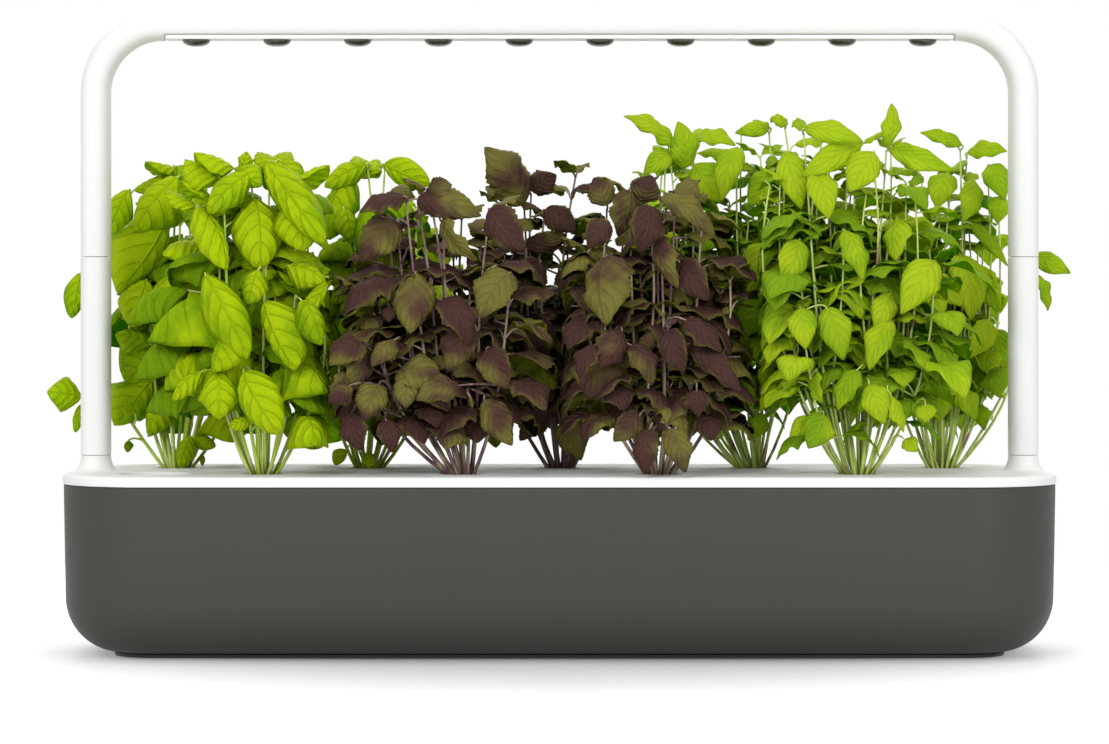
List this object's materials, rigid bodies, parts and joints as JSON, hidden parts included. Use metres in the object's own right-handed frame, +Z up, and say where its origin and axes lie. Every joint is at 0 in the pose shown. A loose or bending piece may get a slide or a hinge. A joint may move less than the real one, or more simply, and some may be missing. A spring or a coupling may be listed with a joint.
{
  "type": "countertop hydroponic garden",
  "caption": "Countertop hydroponic garden: a rounded water base under a lift-off deck of plant pods, lit by an arched lamp bar on two arms.",
  "frame": {"origin": "on the table under the middle of the base", "axes": "+X along the base to the right, +Y to the back, +Z up"},
  "size_m": [0.658, 0.202, 0.4026],
  "materials": {
    "casing_grey": "fine moulded texture, matt dark grey",
    "foot_black": "matt black moulding",
    "foot_rubber": "soft black rubber",
    "white_plastic": "satin white moulding",
    "pod_white": "satin white thin moulding",
    "tank_plastic": "plain translucent white moulding",
    "inlet_black": "black moulding",
    "contact_brass": "plain turned brass",
    "sink_aluminium": "mill finish",
    "board_white": "white solder mask",
    "lens_grey": "clear acrylic over a dark chip, polished",
    "cover_grey": "satin white moulding",
    "soil": "damp crumbled growing medium",
    "sweet_leaf": "glossy cupped bright green leaves",
    "purple_leaf": "serrated purple-brown leaves",
    "lemon_leaf": "matt pointed light green leaves"
  },
  "bodies": {
    "base": {"outer_casing": "casing_grey", "base_plate": "foot_black", "foot_front_left": "foot_rubber", "foot_front_right": "foot_rubber", "foot_rear_left": "foot_rubber", "foot_rear_right": "foot_rubber", "water_tank": "tank_plastic", "power_inlet": "inlet_black"},
    "deck": {"grow_deck": "white_plastic", "float_guide": "white_plastic", "contact_block_left": "contact_brass", "contact_block_right": "contact_brass"},
    "float": {"level_float": "white_plastic"},
    "arm_left": {"arm_extension_left": "white_plastic", "arm_plug_left": "inlet_black"},
    "arm_right": {"arm_extension_right": "white_plastic", "arm_plug_right": "inlet_black"},
    "lamp": {"lamp_arch": "white_plastic", "heat_sink": "sink_aluminium", "led_board": "board_white", "lens_cover": "cover_grey", "lens_01": "lens_grey", "lens_02": "lens_grey", "lens_03": "lens_grey", "lens_04": "lens_grey", "lens_05": "lens_grey", "lens_06": "lens_grey", "lens_07": "lens_grey", "lens_08": "lens_grey", "lens_09": "lens_grey", "lens_10": "lens_grey", "arch_plug_left": "inlet_black", "arch_plug_right": "inlet_black"},
    "pod_1": {"pod_cup_1": "pod_white", "soil_plug_1": "soil", "plant_1": "sweet_leaf"},
    "pod_2": {"pod_cup_2": "pod_white", "soil_plug_2": "soil", "plant_2": "sweet_leaf"},
    "pod_3": {"pod_cup_3": "pod_white", "soil_plug_3": "soil", "plant_3": "sweet_leaf"},
    "pod_4": {"pod_cup_4": "pod_white", "soil_plug_4": "soil", "plant_4": "purple_leaf"},
    "pod_5": {"pod_cup_5": "pod_white", "soil_plug_5": "soil", "plant_5": "purple_leaf"},
    "pod_6": {"pod_cup_6": "pod_white", "soil_plug_6": "soil", "plant_6": "purple_leaf"},
    "pod_7": {"pod_cup_7": "pod_white", "soil_plug_7": "soil", "plant_7": "lemon_leaf"},
    "pod_8": {"pod_cup_8": "pod_white", "soil_plug_8": "soil", "plant_8": "lemon_leaf"},
    "pod_9": {"pod_cup_9": "pod_white", "soil_plug_9": "soil", "plant_9": "lemon_leaf"}
  },
  "joints": [
    {"name": "deck_lift", "type": "slide", "parent": "base", "child": "deck", "axis": [0, 0, 1], "range_m": [0, 0.12]},
    {"name": "float_slide", "type": "slide", "parent": "deck", "child": "float", "axis": [0, 0, 1], "range_m": [-0.053, 0]},
    {"name": "arm_left_lift", "type": "slide", "parent": "deck", "child": "arm_left", "axis": [0, 0, 1], "range_m": [0, 0.03]},
    {"name": "arm_right_lift", "type": "slide", "parent": "deck", "child": "arm_right", "axis": [0, 0, 1], "range_m": [0, 0.03]},
    {"name": "lamp_lift", "type": "slide", "parent": "arm_left", "child": "lamp", "axis": [0, 0, 1], "range_m": [0, 0.03]},
    {"name": "pod_1_lift", "type": "slide", "parent": "deck", "child": "pod_1", "axis": [0, 0, 1], "range_m": [0, 0.055]},
    {"name": "pod_2_lift", "type": "slide", "parent": "deck", "child": "pod_2", "axis": [0, 0, 1], "range_m": [0, 0.055]},
    {"name": "pod_3_lift", "type": "slide", "parent": "deck", "child": "pod_3", "axis": [0, 0, 1], "range_m": [0, 0.055]},
    {"name": "pod_4_lift", "type": "slide", "parent": "deck", "child": "pod_4", "axis": [0, 0, 1], "range_m": [0, 0.055]},
    {"name": "pod_5_lift", "type": "slide", "parent": "deck", "child": "pod_5", "axis": [0, 0, 1], "range_m": [0, 0.055]},
    {"name": "pod_6_lift", "type": "slide", "parent": "deck", "child": "pod_6", "axis": [0, 0, 1], "range_m": [0, 0.055]},
    {"name": "pod_7_lift", "type": "slide", "parent": "deck", "child": "pod_7", "axis": [0, 0, 1], "range_m": [0, 0.034]},
    {"name": "pod_8_lift", "type": "slide", "parent": "deck", "child": "pod_8", "axis": [0, 0, 1], "range_m": [0, 0.034]},
    {"name": "pod_9_lift", "type": "slide", "parent": "deck", "child": "pod_9", "axis": [0, 0, 1], "range_m": [0, 0.034]}
  ],
  "couplings": [
    {"joint": "arm_right_lift", "follows": "arm_left_lift", "ratio": 1}
  ]
}
